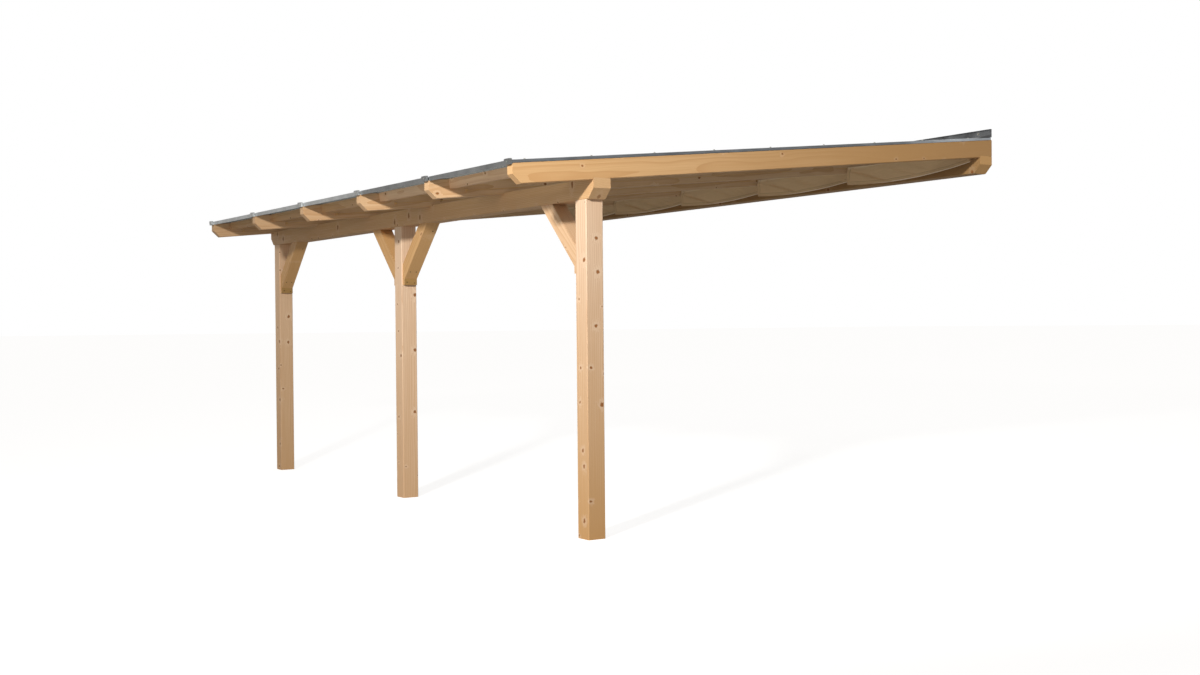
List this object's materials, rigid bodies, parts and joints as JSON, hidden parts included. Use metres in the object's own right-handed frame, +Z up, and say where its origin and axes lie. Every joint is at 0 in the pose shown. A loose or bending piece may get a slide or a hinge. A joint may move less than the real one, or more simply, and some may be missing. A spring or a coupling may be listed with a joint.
{
  "type": "patio cover",
  "caption": "Wall-mounted timber patio cover with square posts, knee braces, sloping rafters, translucent roof sheets in metal glazing bars, and sun sails gathered at the wall.",
  "frame": {"origin": "middle of the wall beam's flat rear face, which stands against the house wall", "axes": "+X along the front to the viewer's right when facing the wall, +Y into the wall, +Z up"},
  "size_m": [5.414, 3.9521, 2.6492],
  "materials": {
    "spruce": "planed, clear",
    "polycarbonate": "translucent twin-wall sheet",
    "aluminium": "mill finish",
    "rubber": "matte",
    "flashing": "matte dark grey",
    "sailcloth": "woven, matte"
  },
  "bodies": {
    "root": {"post_left": "spruce", "post_middle": "spruce", "post_right": "spruce", "front_beam": "spruce", "wall_beam": "spruce", "brace_left": "spruce", "brace_middle_left": "spruce", "brace_middle_right": "spruce", "brace_right": "spruce", "rafter_1": "spruce", "rafter_2": "spruce", "rafter_3": "spruce", "rafter_4": "spruce", "rafter_5": "spruce", "rafter_6": "spruce", "cross_rail_1": "spruce", "cross_rail_2": "spruce", "cross_rail_3": "spruce", "cross_rail_4": "spruce", "cross_rail_5": "spruce", "roof_sheet_1": "polycarbonate", "roof_sheet_2": "polycarbonate", "roof_sheet_3": "polycarbonate", "roof_sheet_4": "polycarbonate", "roof_sheet_5": "polycarbonate", "gaskets": "rubber", "glazing_bar_1": "aluminium", "glazing_bar_2": "aluminium", "glazing_bar_3": "aluminium", "glazing_bar_4": "aluminium", "glazing_bar_5": "aluminium", "glazing_bar_6": "aluminium", "bar_end_caps": "aluminium", "eaves_channel_1": "aluminium", "eaves_channel_2": "aluminium", "eaves_channel_3": "aluminium", "eaves_channel_4": "aluminium", "eaves_channel_5": "aluminium", "wall_flashing": "flashing", "sail_rods": "aluminium", "sun_sail_1": "sailcloth", "sun_sail_2": "sailcloth", "sun_sail_3": "sailcloth", "sun_sail_4": "sailcloth", "sun_sail_5": "sailcloth"}
  },
  "joints": []
}
